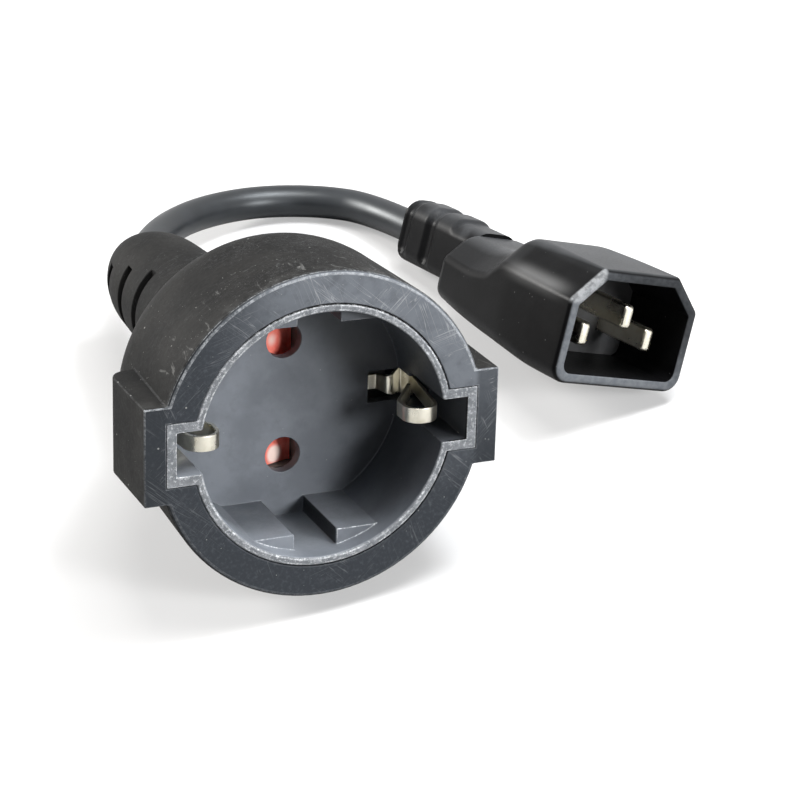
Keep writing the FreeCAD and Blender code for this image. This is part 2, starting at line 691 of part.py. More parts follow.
def socket_cores():
    back = s.carrier_end.value + s.cap_thick.value + s.crimp_length.value
    high = s.pin_pitch.value / 2
    gather = s.cavity_end.value - s.gather_lead.value
    end = s.relief_end.value - s.core_end_wall.value
    place = socket_place()
    return [core("socket_live_core", Vector(0, back, high), 0, gather, end, place),
            core("socket_neutral_core", Vector(0, back, -high), 1, gather, end, place),
            core("socket_earth_core", Vector(s.tail_place.value, back, 0), 2, gather, end,
                 place)]


# Plug: moulding, carrier and pins
def section_sizes(name):
    return [getattr(s, f"{name}_{field}") for field in SECTION_FIELDS]


def plug_moulding():
    body = new_body("plug_moulding", plug_place())
    sections = [section_sizes(name) for name in SECTIONS]
    lofted(body, "AdditiveLoft", [(place, blocky(*rest, s.shroud_crease))
                                  for place, *rest in sections], "grip")
    half, top, bottom = s.relief_box_half, s.relief_box_top, s.relief_box_bottom
    corner, edge = s.relief_box_corner, s.relief_box_break
    narrow = half - s.relief_box_taper
    lofted(body, "AdditiveLoft", [
        (s.relief_box_start, rounded_box(half, top, bottom, corner)),
        (s.plug_relief_end - edge, rounded_box(narrow, top, bottom, corner)),
        (s.plug_relief_end, rounded_box(narrow - edge, top - edge, bottom - edge,
                                        corner - edge / 2))], "relief")
    cut_inlet(body)
    cut_grooves(body)
    return body


def cut_inlet(body):
    section = blocky(s.inlet_half_width, s.inlet_half_height, s.inlet_half_height,
                     s.inlet_chamfer, s.inlet_corner)
    back = s.inlet_depth + s.pin_carrier_length
    cut_back(body, section, None, back + s.mould_gap, "inlet")
    front = cut_box(s.plug_cavity_half_width, s.plug_cavity_top, s.plug_cavity_bottom,
                    s.plug_cavity_chamfer)
    small = cut_box(s.bore_radius, s.bore_radius, s.bore_radius, s.bore_radius / 2)
    cut_between(body, front, back - 1, s.plug_cavity_straight + 1 - back, "crimp_room")
    lofted(body, "SubtractiveLoft", [(s.plug_cavity_straight, front),
                                     (s.plug_cavity_end, small)], "cavity")
    turned(body, "Groove", [
        (0, s.plug_cavity_end - 1), (s.bore_radius, s.plug_cavity_end - 1),
        (s.bore_radius, s.plug_relief_end - s.core_end_wall),
        (0, s.plug_relief_end - s.core_end_wall)], "core_bore")


def cut_grooves(body):
    """Grooves over the top and the sides of the relief, which leave it in rings."""
    low, high = s.relief_box_top - s.groove_depth, s.relief_box_top * 2
    cut_between(body, rectangle(-high, high, low, high), s.grip_end_place,
                s.ring_first - s.grip_end_place, "flat")
    side, foot = s.groove_side, -s.groove_low
    around = [(-high, foot), (-side, foot), (-side, low), (side, low), (side, foot),
              (high, foot), (high, high), (-high, high)]
    for index in range(2):
        cut_between(body, around, s.groove_place + index * s.groove_pitch, s.groove_width,
                    "groove")


def pin_carrier():
    body = new_body("pin_carrier", plug_place())
    gap = s.mould_gap
    section = blocky(s.inlet_half_width - gap, s.inlet_half_height - gap,
                     s.inlet_half_height - gap, s.inlet_chamfer, s.inlet_corner)
    pad_back(body, section, s.inlet_depth, s.pin_carrier_length)
    for x, z, lead in blade_places():
        wide, high = s.blade_thick / 2 + gap, s.blade_width / 2 + gap
        cut_back(body, rectangle(x - wide, x + wide, z - high, z + high), None,
                 s.inlet_depth + s.pin_carrier_length + 1, "blade_way")
    return body


def blade_places():
    low = -s.blade_drop
    return [(-s.blade_pitch / 2, low, 0), (s.blade_pitch / 2, low, 0),
            (0 * s.blade_pitch, low + s.earth_rise, s.earth_lead)]


def blade(name, x, z, lead):
    body = new_body(name, plug_place())
    wide, high = s.blade_thick / 2, s.blade_width / 2
    front = s.blade_inset - lead
    back = s.inlet_depth + s.pin_carrier_length
    pad_back(body, rectangle(x - wide, x + wide, z - high, z + high), front, back - front)
    crimp = circle_at(body, "XZ_Plane", x, z, s.pin_crimp_radius, -back)
    swept(body, "Pad", crimp, s.pin_crimp_length, reverse=True)
    whole = body.Tip
    edges = [f"Edge{index}" for index, edge in enumerate(whole.Shape.Edges, start=1)
             if all(abs(corner.Y - front.value) < 1e-6 for corner in edge.Vertexes)]
    tip = body.newObject("PartDesign::Chamfer", "tip")
    tip.Base = (whole, edges)
    tip.Size = s.blade_tip.value
    tip.setExpression("Size", formula(s.blade_tip))
    doc.recompute()
    return body


def plug_cores():
    back = (s.inlet_depth + s.pin_carrier_length + s.pin_crimp_length).value
    gather = s.plug_cavity_end.value - s.plug_gather_lead.value
    end = (s.plug_relief_end - s.core_end_wall).value
    names = ("plug_neutral_core", "plug_live_core", "plug_earth_core")
    orders = (1, 2, 0)
    cores = []
    for name, order, (x, z, lead) in zip(names, orders, blade_places()):
        start = Vector(number(x), back, number(z))
        cores.append(core(name, start, order, gather, end, plug_place()))
    return cores


def cord_sheath():
    """Straight runs joined by tangent arcs along the route."""
    spots = [Vector(x, y, 0) for x, y in ROUTE]
    plug = socket_place().inverse() * plug_place()
    for way in (s.plug_relief_end + s.last_run, s.plug_relief_end):
        spots.append(plug.multVec(Vector(0, way.value, 0)))
    tube, length, radii = tube_along(spots, s.cord_radius.value)
    expected = math.pi * s.cord_radius.value ** 2 * length
    print("cord length", round(length, 1), "bend radii", [round(r, 1) for r in radii],
          "volume share", round(tube.Volume / expected, 4))
    return held_shape("cord_sheath", tube, socket_place())


def build():
    pieces = [outer_moulding(), socket_cup(), contact_carrier(), carrier_cap(),
              sleeve_contact("live_contact", 1), sleeve_contact("neutral_contact", -1),
              earth_bracket(), shutter(), shutter_spring(), cord_sheath(),
              plug_moulding(), pin_carrier()]
    for name, (x, z, lead) in zip(("neutral_pin", "live_pin", "earth_pin"), blade_places()):
        pieces.append(blade(name, x, z, lead))
    return pieces + socket_cores() + plug_cores()


def check_and_export(pieces):
    doc.recompute()
    for item in doc.Objects:
        if {"Invalid", "Error"} & set(item.State):
            raise RuntimeError(f"{item.Label} is {item.State}")
    os.makedirs("parts", exist_ok=True)
    for piece in pieces:
        shape = piece.Shape
        if shape.isNull() or not shape.isValid() or shape.Volume <= 0:
            raise RuntimeError(f"{piece.Label} has no sound shape")
        print(f"{piece.Label:22s} volume {shape.Volume:10.1f} solids {len(shape.Solids)} "
              f"z {shape.BoundBox.ZMin:7.2f}")
        shape.exportStep(f"parts/{piece.Label}.step")


check_and_export(build())
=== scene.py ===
import math

import bmesh
import bpy
from mathutils import Matrix, Vector


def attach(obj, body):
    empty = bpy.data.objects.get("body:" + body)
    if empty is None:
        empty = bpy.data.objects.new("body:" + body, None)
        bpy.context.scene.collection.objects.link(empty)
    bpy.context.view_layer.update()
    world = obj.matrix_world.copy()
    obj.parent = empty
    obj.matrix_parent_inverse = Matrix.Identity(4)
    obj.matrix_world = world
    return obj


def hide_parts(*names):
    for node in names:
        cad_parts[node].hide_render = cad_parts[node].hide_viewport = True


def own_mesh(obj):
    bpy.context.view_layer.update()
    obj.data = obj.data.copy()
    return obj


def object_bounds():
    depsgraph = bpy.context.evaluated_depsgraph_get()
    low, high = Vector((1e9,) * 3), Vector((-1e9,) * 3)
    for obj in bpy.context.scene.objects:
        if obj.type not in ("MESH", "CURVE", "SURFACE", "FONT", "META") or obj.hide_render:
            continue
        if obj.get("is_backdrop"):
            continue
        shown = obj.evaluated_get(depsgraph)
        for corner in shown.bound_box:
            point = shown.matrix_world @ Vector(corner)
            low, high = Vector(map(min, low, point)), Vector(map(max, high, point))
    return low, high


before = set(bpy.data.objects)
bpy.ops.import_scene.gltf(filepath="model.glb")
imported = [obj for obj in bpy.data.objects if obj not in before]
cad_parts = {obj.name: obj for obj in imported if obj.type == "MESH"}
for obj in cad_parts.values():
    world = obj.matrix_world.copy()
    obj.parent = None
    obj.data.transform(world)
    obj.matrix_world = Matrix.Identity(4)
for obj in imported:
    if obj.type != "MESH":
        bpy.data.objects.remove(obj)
cad_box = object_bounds()
scene = bpy.context.scene
scene.view_settings.view_transform = "Standard"

MM = 1000  # millimetres in a metre


def turned(degrees, axis):
    """Rotation about one axis of the part."""
    return Matrix.Rotation(math.radians(degrees), 4, axis)


# Frames of the two mouldings: the middle of the mouth, with +Y from there to the cord.
SOCKET = (Matrix.Translation((0, -0.04112, 0.02887)) @ turned(-10.42, "X")
          @ turned(6.77, "Y"))
PLUG = (SOCKET @ Matrix.Translation((0.06615, 0.02785, 0)) @ turned(9.8, "Z")
        @ turned(14.2, "Y"))

# The cord, in metres: its route in the socket's frame, and the straight run at the plug.
CORD_RADIUS = 0.00305
ROUTE = [(0.0006, 0.0860), (0.0039, 0.0966), (0.0124, 0.1082), (0.0219, 0.1152),
         (0.0334, 0.1181), (0.0448, 0.1148)]
LAST_RUN = 0.0156

# Edges of the copied solids: how wide they are rounded, in metres.
MOULDING_EDGE = 0.00022
INSERT_EDGE = 0.00014
BLADE_EDGE = 0.0004
CLIP_EDGE = 0.00012
SPRING_EDGE = 0.00004
WELD = 1e-6  # points closer than this are one point
FLAT = 0.8  # faces that meet at less than this many degrees are one face
COPY_SHARP, SKIN_SHARP = 50, 55  # edges of more degrees than this stay sharp

# Sections of the plug: place, half width, top, bottom, cut corner, radius of the lower
# corners, and the radii that round the cut corner's upper and lower edges. All sizes of
# the plug are in millimetres in its own frame.
PLUG_SHAPE = [
    (0.0, 13.95, 10.05, 10.05, 5.75, 3.0, 1.0, 1.4),
    (9.0, 13.9, 10.05, 9.95, 5.6, 3.0, 2.2, 1.8),
    (17.5, 13.6, 9.95, 9.25, 5.35, 3.0, 4.2, 2.2),
    (20.8, 13.25, 9.75, 9.0, 5.2, 3.0, 4.6, 2.4),
    (26.0, 12.6, 6.2, 8.7, 4.9, 3.0, 5.0, 2.4),
    (33.0, 11.65, 5.1, 8.0, 4.8, 2.6, 5.5, 2.4),
    (42.8, 10.0, 5.0, 6.8, 4.6, 2.2, 5.5, 2.4),
]
RIM_ROUND = 0.9
GRIP_START = 2.0
GRIP_ROUND = 2.2
GRIP_STEP = 0.8
LEAST_ROUND = 0.15
# The recess has the same columns without the place; its lip is (place, inset) pairs.
INLET = (12.05, 8.2, 8.2, 4.65, 1.6, 0.5, 0.5)
INLET_BACK = 17.0
INLET_LIP = ((0.25, 0.0), (0.07, -0.07), (0.0, -0.25))

# The plug's strain relief.
RELIEF_SPAN = (41.0, 64.5)
RELIEF_STEP = 0.235
RELIEF_HALF = 5.1
RELIEF_TAPER = 0.55
RELIEF_TOP = 6.25
RELIEF_BOTTOM = 5.6
RELIEF_ROUND = 1.45
RELIEF_UPPER = (3.4, 0.45)  # corner radius, and what it loses as the end rounds in
RELIEF_LOWER = (2.8, 0.35)
RELIEF_STEM = (47.6, 49.0)  # up to here the top is as low as in a groove
RELIEF_GROOVES = ((53.8, 55.8), (61.4, 63.4))
GROOVE_OUTSIDE, GROOVE_INSIDE = 0.9, 0.7  # how a groove's slope spreads past its edge
GROOVE_DEPTH = 0.62
GROOVE_PINCH = 0.17  # share of the width that a groove takes off
GROOVE_SIDES = (-4.4, -3.2)  # height over which the pinch sets in
GROOVE_CROWN = (2.6, 5.2)  # height over which the depth sets in
GROOVE_FOOT = 3.0  # nothing below this height is lowered

CAMERA_PLACE = (-0.131364, -0.371989, 0.265428)
CAMERA_TURN = (0.996689, 0.008656, -0.415264)
CAMERA_LENS = 127.905
CAMERA_SENSOR = 36.0

# Lamps: name, place, the spot it lights, width, height, power in watts and colour.
LAMPS = [
    ("key", (0.37, -0.66, 0.31), (0.0, -0.02, 0.03), 0.20, 0.20, 5.6, (1, 1, 1)),
    ("top", (0.20, -0.05, 0.68), (0.20, -0.02, 0.02), 0.60, 0.28, 4.6, (1, 0.99, 0.97)),
    ("loop", (0.22, -0.01, 0.46), (0.01, 0.08, 0.02), 0.14, 0.14, 1.8, (0.93, 0.96, 1)),
    ("back_left", (-0.46, 0.50, 0.32), (0.0, 0.0, 0.03), 0.26, 0.26, 7.5, (1, 0.98, 0.95)),
]
FILL_COLOUR = (0.92, 0.94, 1.0)
FILL_STRENGTH = 0.12
WHITE = (1, 1, 1)
FLOOR_SIZE = 6
FLOOR_TONE = (0.45, 0.45, 0.45)
FLOOR_GLOW = 0.36  # glow of the floor under the part; it is 1 far from it
GLOW_NEAR, GLOW_FAR = 0.3, 1.1

# Scratches on the socket: turn, spacing, length, thickness, and how few of them show.
SCRATCHES = ((0.7, 1.0, 0.03, 0.009, 0.48), (-0.8, 1.2, 0.04, 0.008, 0.50),
             (1.2, 0.8, 0.04, 0.009, 0.52), (-0.3, 0.9, 0.05, 0.008, 0.54))


class Nodes:
    """Short names for the nodes of one tree."""

    def __init__(self, tree):
        self.tree = tree

    def node(self, kind, inputs=None, **options):
        """A new node with its options set and its inputs filled."""
        node = self.tree.nodes.new(f"ShaderNode{kind}")
        for key, value in options.items():
            setattr(node, key, value)
        for key, value in (inputs or {}).items():
            self.put(node.inputs[key], value)
        return node

    def put(self, socket, value):
        """Link an output to the socket, or set the socket to a constant."""
        if isinstance(value, bpy.types.NodeSocket):
            self.tree.links.new(value, socket)
        elif socket.type == "RGBA" and len(value) == 3:
            socket.default_value = (*value, 1)
        else:
            socket.default_value = value

    def math(self, operation, *values):
        return self.node("Math", dict(enumerate(values)), operation=operation).outputs[0]

    def chain(self, operation, values):
        """The operation over all the values, from left to right."""
        result = values[0]
        for value in values[1:]:
            result = self.math(operation, result, value)
        return result

    def times(self, *values):
        return self.chain("MULTIPLY", values)

    def plus(self, *values):
        return self.chain("ADD", values)

    def minus(self, *values):
        return self.chain("SUBTRACT", values)

    def either(self, *values):
        return self.chain("MAXIMUM", values)

    def size(self, value):
        return self.math("ABSOLUTE", value)

    def fade(self, value, low, high, start=0.0, end=1.0):
        """Smooth step from start to end as value goes from low to high."""
        node = self.node("MapRange", {"Value": value, "From Min": low, "From Max": high,
                                      "To Min": start, "To Max": end},
                         interpolation_type="SMOOTHSTEP")
        return node.outputs["Result"]

    def near(self, value, target, width):
        """1 where value is at target, falling to 0 at width from it."""
        return self.fade(self.size(self.minus(value, target)), 0.0, width, 1.0, 0.0)

    def within(self, value, low, high, soft):
        """1 between low and high, with soft ends."""
        return self.times(self.fade(value, low - soft, low + soft),
                          self.fade(value, high - soft, high + soft, 1.0, 0.0))


class Shade(Nodes):
    """A material with a Principled shader, and the patterns that feed it."""

    def __init__(self, name):
        self.material = bpy.data.materials.new(name)
        self.material.use_nodes = True
        super().__init__(self.material.node_tree)
        self.shader = self.tree.nodes["Principled BSDF"]
        self.place = self.node("TexCoord").outputs["Object"]

    def set(self, **inputs):
        """Fill the shader's own inputs; an underscore stands for a space."""
        for key, value in inputs.items():
            self.put(self.shader.inputs[key.replace("_", " ")], value)

    def local(self, matrix):
        """Place in a moulding's own frame, in millimetres."""
        back = matrix.inverted()
        return self.node("Mapping", {"Vector": self.place,
                                     "Location": back.to_translation() * MM,
                                     "Rotation": back.to_3x3().to_euler(),
                                     "Scale": (MM, MM, MM)}).outputs[0]

    def split(self, vector):
        return self.node("SeparateXYZ", {"Vector": vector}).outputs

    def radius(self, x, z):
        """Distance from the moulding's axis."""
        return self.math("SQRT", self.plus(self.times(x, x), self.times(z, z)))

    def noise(self, vector, scale, detail=4.0, rough=0.55, stretch=None, turn=0.0,
              distortion=0.0):
        """Soft random pattern from 0 to 1, which can be stretched and turned."""
        if stretch is not None:
            wide = tuple(1 / part for part in stretch)
            vector = self.node("Mapping", {"Vector": vector, "Scale": wide,
                                           "Rotation": (0, turn, 0)},
                               vector_type="TEXTURE").outputs[0]
        node = self.node("TexNoise", {"Vector": vector, "Scale": scale, "Detail": detail,
                                      "Roughness": rough, "Distortion": distortion})
        return node.outputs["Fac"]

    def scratches(self, vector, turn, spacing, length, thickness, share):
        """Thin lines in one direction of the face, broken up along their way."""
        lines = self.noise(vector, spacing, 2.0, 0.5, (length, 1.0, 1.0), turn, 0.25)
        thin = self.near(lines, 0.5, thickness)
        parts = self.noise(vector, 0.11, 2.0, 0.5, (1.0, 1.0, 1.0), turn + 1.0)
        return self.times(thin, self.fade(parts, share, share + 0.08))

    def specks(self, vector, scale, size, share):
        """Round dots in a share of the cells of a random pattern."""
        cells = self.node("TexVoronoi", {"Vector": vector, "Scale": scale,
                                         "Randomness": 1.0}).outputs
        dot = self.fade(cells["Distance"], size * 0.6, size, 1.0, 0.0)
        pick = self.node("SeparateColor", {"Color": cells["Color"]}).outputs[0]
        return self.times(dot, self.fade(pick, share, share + 0.02, 1.0, 0.0))

    def mix(self, share, first, second):
        """The first colour where share is 0, the second where it is 1."""
        return self.node("Mix", {0: share, 6: first, 7: second},
                         data_type="RGBA").outputs[2]

    def bump(self, height, strength, distance):
        node = self.node("Bump", {"Height": height, "Strength": strength,
                                  "Distance": distance})
        self.put(self.shader.inputs["Normal"], node.outputs[0])


def socket_plastic(edge=False):
    """Soft black moulding: grey front face, paler in patches and to the upper right with
    painted light, pale edges, fine scratches with a painted glint, specks.
    """
    black, sooty = (0.0068, 0.0068, 0.0068), (0.0150, 0.0146, 0.0140)
    rub_grey, streak_grey = (0.046, 0.046, 0.045), (0.20, 0.20, 0.195)
    # the pale front colour also stands for painted light on the upper right
    face_dark, face_lit_pale = (0.031, 0.035, 0.041), (0.140, 0.152, 0.170)
    cloud_grey, fine_grey = (0.030, 0.034, 0.040), (0.14, 0.15, 0.17)
    ear_grey, edge_grey = (0.022, 0.025, 0.029), (0.36, 0.375, 0.39)
    scratch_grey, speck_grey = (0.36, 0.37, 0.38), (0.45, 0.45, 0.43)

    m = Shade("moulding_socket_edge" if edge else "moulding_socket")
    vector = m.local(SOCKET)
    x, y, z = m.split(vector)
    face = m.fade(y, 0.10, 0.45, 1.0, 0.0)
    patch = m.noise(vector, 0.09, 5.0, 0.6)
    cloud = m.noise(vector, 0.35, 5.0, 0.65)
    fine = m.noise(vector, 1.6, 4.0, 0.6)
    streaks = m.noise(vector, 0.5, 5.0, 0.7, (1.0, 0.35, 1.0), 0.0, 0.6)

    # how far up and right a spot on the face lies, less away from that line
    along = m.plus(m.times(z, 0.85), m.times(x, 0.52))
    across = m.minus(m.times(x, 0.85), m.times(z, 0.52))
    slope = m.minus(along, m.times(across, across, 0.022))

    # barrel: near black, rubbed behind the face, with pale streaks on top
    side = m.mix(m.fade(patch, 0.35, 0.7), black, sooty)
    paler_patch = m.times(m.fade(y, 0.4, 5.0, 1.0, 0.0), m.fade(cloud, 0.45, 0.7))
    side = m.mix(m.times(paler_patch, 0.5), side, rub_grey)
    streak = m.times(m.fade(streaks, 0.585, 0.67), m.within(y, 0.8, 9.0, 0.8),
                     m.fade(z, 5.0, 12.0))
    side = m.mix(m.times(streak, 0.42), side, streak_grey)

    # front: paler to the upper right with painted light, and in patches; clouded, darker on
    # the ears
    pale_tone = m.plus(m.times(m.fade(slope, -20.0, 25.0), 0.75), m.times(patch, 0.45))
    front = m.mix(m.fade(pale_tone, 0.25, 1.0), face_dark, face_lit_pale)
    front = m.mix(m.times(m.fade(cloud, 0.42, 0.75), 0.4), front, cloud_grey)
    front = m.mix(m.times(m.fade(fine, 0.45, 0.8), 0.2), front, fine_grey)
    front = m.mix(m.fade(m.size(x), 24.4, 25.6, 0.0, 0.55), front, ear_grey)
    colour = m.mix(face, side, front)

    # scratches, clearest on the upper face, where a painted glint brightens them
    lines = m.either(*(m.scratches(vector, *row) for row in SCRATCHES))
    upper = m.fade(slope, -12.0, 20.0, 0.25, 1.0)
    shown = m.either(m.times(face, 0.55), 0.16)
    colour = m.mix(m.times(lines, upper, shown), colour, scratch_grey)

    # specks of three sizes, and a fine dusting on the barrel's top
    dusting = m.times(m.specks(vector, 2.0, 0.15, 0.45), m.fade(cloud, 0.47, 0.60),
                      m.within(y, 1.5, 13.0, 1.5), m.fade(z, 9.0, 17.0))
    dots = m.either(m.specks(vector, 0.45, 0.08, 0.25), m.specks(vector, 0.9, 0.09, 0.18),
                    m.times(m.specks(vector, 1.6, 0.12, 0.30),
                            m.fade(streaks, 0.50, 0.60)), dusting)
    colour = m.mix(m.times(dots, m.fade(y, 30.0, 50.0, 0.5, 0.2)), colour, speck_grey)

    if edge:
        # the bare outer edge, mostly at the top, broken up by nicks
        whole = m.fade(m.noise(vector, 0.7, 5.0, 0.6), 0.32, 0.55, 0.15, 1.0)
        nicks = m.fade(m.noise(vector, 1.9, 5.0, 0.7), 0.40, 0.58, 0.25, 1.0)
        outer = m.either(m.times(m.fade(m.radius(x, z), 24.4, 25.0),
                                 m.fade(z, -4.0, 14.0, 0.22, 1.0)), 0.06)
        colour = m.mix(m.times(whole, nicks, outer, m.fade(y, 0.35, 0.5, 0.75, 0.08)),
                       colour, edge_grey)
    rough = m.plus(m.fade(fine, 0.2, 0.8, 0.40, 0.50), m.fade(face, 0.0, 1.0, 0.2, 0.0))
    m.set(Base_Color=colour, Roughness=rough, Specular_IOR_Level=0.08)
    m.bump(m.plus(m.times(cloud, 0.3), m.times(lines, 0.5)), 0.12, 0.0001)
    return m.material


def insert_plastic(edge=False):
    """Hard grey insert: pale worn rim with chipped edges, smooth floor."""
    grey, grey_pale = (0.150, 0.164, 0.186), (0.205, 0.223, 0.250)
    # the second of these greys is painted shade for the recess's right side
    cloud_grey, painted_shade_grey = (0.08, 0.087, 0.098), (0.024, 0.026, 0.030)
    rim_dark, rim_pale = (0.125, 0.134, 0.146), (0.215, 0.226, 0.240)
    # painted shade: black for the seam and for the ribs' sides
    seam_shade_black, rib_shade_black = (0.008, 0.008, 0.009), (0.010, 0.011, 0.012)
    speck_grey, flake_grey = (0.5, 0.5, 0.5), (0.52, 0.53, 0.54)
    edge_grey = (0.72, 0.74, 0.76)

    m = Shade("insert_edge" if edge else "insert")
    vector = m.local(SOCKET)
    x, y, z = m.split(vector)
    rim = m.fade(y, 0.12, 0.3, 1.0, 0.0)
    patch = m.noise(vector, 0.12, 5.0, 0.55)
    cloud = m.noise(vector, 0.5, 4.0, 0.6)
    fine = m.noise(vector, 2.2, 4.0, 0.6)

    # recess: soft grey, with painted shade darker to the right; rim: paler, in patches
    inside = m.mix(m.fade(patch, 0.35, 0.65), grey, grey_pale)
    inside = m.mix(m.times(m.fade(cloud, 0.5, 0.8), 0.25), inside, cloud_grey)
    shade_to_right = m.plus(x, m.times(z, 0.45))
    inside = m.mix(m.fade(shade_to_right, -12.0, 16.0, 0.0, 0.80), inside, painted_shade_grey)
    pale_tone = m.mix(m.fade(cloud, 0.4, 0.7), rim_dark, rim_pale)
    colour = m.mix(rim, inside, pale_tone)
    colour = m.mix(m.times(m.specks(vector, 0.7, 0.07, 0.3), 0.3), colour, speck_grey)

    # painted shade in the seam around the insert on its upper right, and on the ribs' sides in
    # the slots between the lower ribs
    seam_shade = m.times(m.fade(m.radius(x, z), 20.76, 20.84), m.fade(y, 0.04, 0.10),
                   m.fade(y, 0.5, 0.7, 1.0, 0.0), m.fade(m.plus(x, z), -8.0, 12.0))
    colour = m.mix(seam_shade, colour, seam_shade_black)
    rib_side_shade = m.times(m.near(m.size(x), 3.49, 0.25), m.fade(z, -16.2, -15.6, 1.0, 0.0),
                    m.within(y, 3.7, 17.2, 0.2))
    colour = m.mix(m.times(rib_side_shade, 0.9), colour, rib_shade_black)

    flakes = m.times(m.fade(m.noise(vector, 1.7, 6.0, 0.75), 0.52, 0.60), rim)
    colour = m.mix(m.times(flakes, 0.6), colour, flake_grey)
    if edge:
        # chipped pale edges: at the rim, and less on the ribs' ends
        chips = m.times(m.fade(m.noise(vector, 0.32, 5.0, 0.65), 0.42, 0.60, 0.12, 1.0),
                        m.fade(m.noise(vector, 2.6, 5.0, 0.7), 0.44, 0.58, 0.1, 1.0))
        front = m.fade(y, 0.12, 0.25, 0.80, 0.06)
        ribs = m.times(m.near(y, 3.14, 0.5), m.fade(z, -14.0, 14.0, 0.6, 0.2))
        colour = m.mix(m.times(m.either(front, ribs), chips), colour, edge_grey)
    m.set(Base_Color=colour, Roughness=m.fade(fine, 0.2, 0.8, 0.32, 0.44),
          Specular_IOR_Level=0.28)
    m.bump(fine, 0.15, 0.00006)
    return m.material


def plug_plastic():
    """Soft black plug moulding: cleaner, dusty on top with a painted sheen, painted highlights
    along the left crease and at the rim's upper left corner, and a worn grey rim.
    """
    black, black_pale = (0.0022, 0.0022, 0.0025), (0.0048, 0.0048, 0.0052)
    # dust with a painted sheen on what faces up, and a painted highlight for the crease
    dust_and_sheen_grey, crease_highlight_grey = (0.044, 0.046, 0.049), (0.100, 0.100, 0.100)
    rim_grey, rim_pale = (0.105, 0.114, 0.126), (0.22, 0.23, 0.24)
    # specks, and a painted highlight for the rim's upper left corner
    speck_grey, corner_highlight_grey = (0.3, 0.3, 0.3), (0.34, 0.35, 0.36)

    m = Shade("moulding_plug")
    vector = m.local(PLUG)
    x, y, z = m.split(vector)
    rim = m.fade(y, 0.02, 0.22, 1.0, 0.0)
    patch = m.noise(vector, 0.12, 4.0, 0.55)
    fine = m.noise(vector, 2.0, 4.0, 0.6)
    ragged = m.fade(m.noise(vector, 0.8, 5.0, 0.65), 0.38, 0.62)
    colour = m.mix(m.fade(patch, 0.35, 0.7), black, black_pale)

    # dust and a painted sheen on what faces up outside the recess, and on the rings of the
    # relief
    up = m.node("VectorMath", {0: m.node("NewGeometry").outputs["Normal"],
                               1: PLUG.to_3x3() @ Vector((0, 0, 1))},
                operation="DOT_PRODUCT").outputs["Value"]
    outside = m.either(m.fade(z, 8.5, 9.3), m.fade(y, 17.5, 19.0))
    dust_and_sheen = m.times(m.fade(up, 0.6, 1.0), outside, m.fade(patch, 0.25, 0.75, 0.65, 1.0))
    rings = m.times(m.fade(y, 42.0, 45.0), m.fade(up, -0.1, 1.0),
                    m.fade(m.noise(vector, 0.22, 3.0, 0.5), 0.35, 0.65, 0.3, 1.0))
    colour = m.mix(m.either(dust_and_sheen, rings), colour, dust_and_sheen_grey)

    # a painted highlight along the crease of the left cut corner, and specks
    crease_highlight = m.times(m.near(x, -13.1, 2.2), m.near(z, 4.9, 2.6),
                     m.within(y, 4.0, 18.0, 4.0))
    colour = m.mix(crease_highlight, colour, crease_highlight_grey)
    colour = m.mix(m.times(m.specks(vector, 0.5, 0.07, 0.25), 0.25), colour, speck_grey)

    # the rim: paler low and left, and palest at the upper left corner, where a highlight is
    # painted
    low = m.fade(m.plus(z, m.times(x, 0.6)), -7.0, 9.0, 1.0, 0.2)
    colour = m.mix(m.times(rim, low), colour, rim_grey)
    colour = m.mix(m.times(rim, ragged, low, 0.3), colour, rim_pale)
    corner = m.times(m.fade(y, 0.5, 1.0, 1.0, 0.0), m.fade(x, -8.4, -7.4, 1.0, 0.0),
                     m.fade(z, 3.4, 4.6))
    colour = m.mix(m.times(corner, m.fade(ragged, 0.0, 1.0, 0.4, 0.75)), colour,
                   corner_highlight_grey)
    m.set(Base_Color=colour, Roughness=m.fade(fine, 0.2, 0.8, 0.34, 0.42),
          Specular_IOR_Level=0.08)
    m.bump(fine, 0.12, 0.00006)
    return m.material


def sheath_plastic():
    """Sheath of the cord: smooth and even, with a faintly cool sheen."""
    black, black_pale = (0.007, 0.008, 0.0095), (0.012, 0.0135, 0.016)
    m = Shade("sheath")
    vector = m.local(SOCKET)
    fine = m.noise(vector, 2.4, 3.0, 0.55)
    patch = m.noise(vector, 0.15, 3.0, 0.5)
    m.set(Base_Color=m.mix(m.fade(patch, 0.35, 0.7), black, black_pale),
          Roughness=m.fade(patch, 0.3, 0.7, 0.37, 0.44),
          Specular_IOR_Level=0.50, Specular_Tint=(0.92, 0.97, 1.0))
    m.bump(fine, 0.02, 0.00005)
    return m.material


def plain_plastic(name, colour, rough):
    """Clean plastic of one colour, for pieces that hardly show."""
    m = Shade(name)
    patch = m.noise(m.local(SOCKET), 0.5, 4.0, 0.6)
    dark = tuple(0.75 * part for part in colour)
    m.set(Base_Color=m.mix(m.fade(patch, 0.3, 0.7), dark, colour),
          Roughness=m.fade(patch, 0.2, 0.8, rough - 0.05, rough + 0.08))
    return m.material


def shutter_plastic():
    """Bright red with a painted pale highlight at each pin hole."""
    red, red_pale, paler_patch = (0.90, 0.16, 0.12), (1.0, 0.26, 0.20), (1.0, 0.78, 0.70)
    m = Shade("shutter_red")
    vector = m.local(SOCKET)
    x, _, z = m.split(vector)
    patch = m.noise(vector, 0.5, 4.0, 0.6)
    colour = m.mix(m.fade(patch, 0.3, 0.7), red, red_pale)
    # painted highlights: pale spots on the red at the lower and upper pin holes
    highlight_spot = m.either(m.times(m.near(x, 0.1, 2.1), m.near(z, -10.9, 2.3)),
                   m.times(m.near(x, -0.6, 1.8), m.near(z, 8.4, 2.2), 0.4))
    m.set(Base_Color=m.mix(m.fade(highlight_spot, 0.08, 0.55), colour, paler_patch), Roughness=0.16)
    return m.material


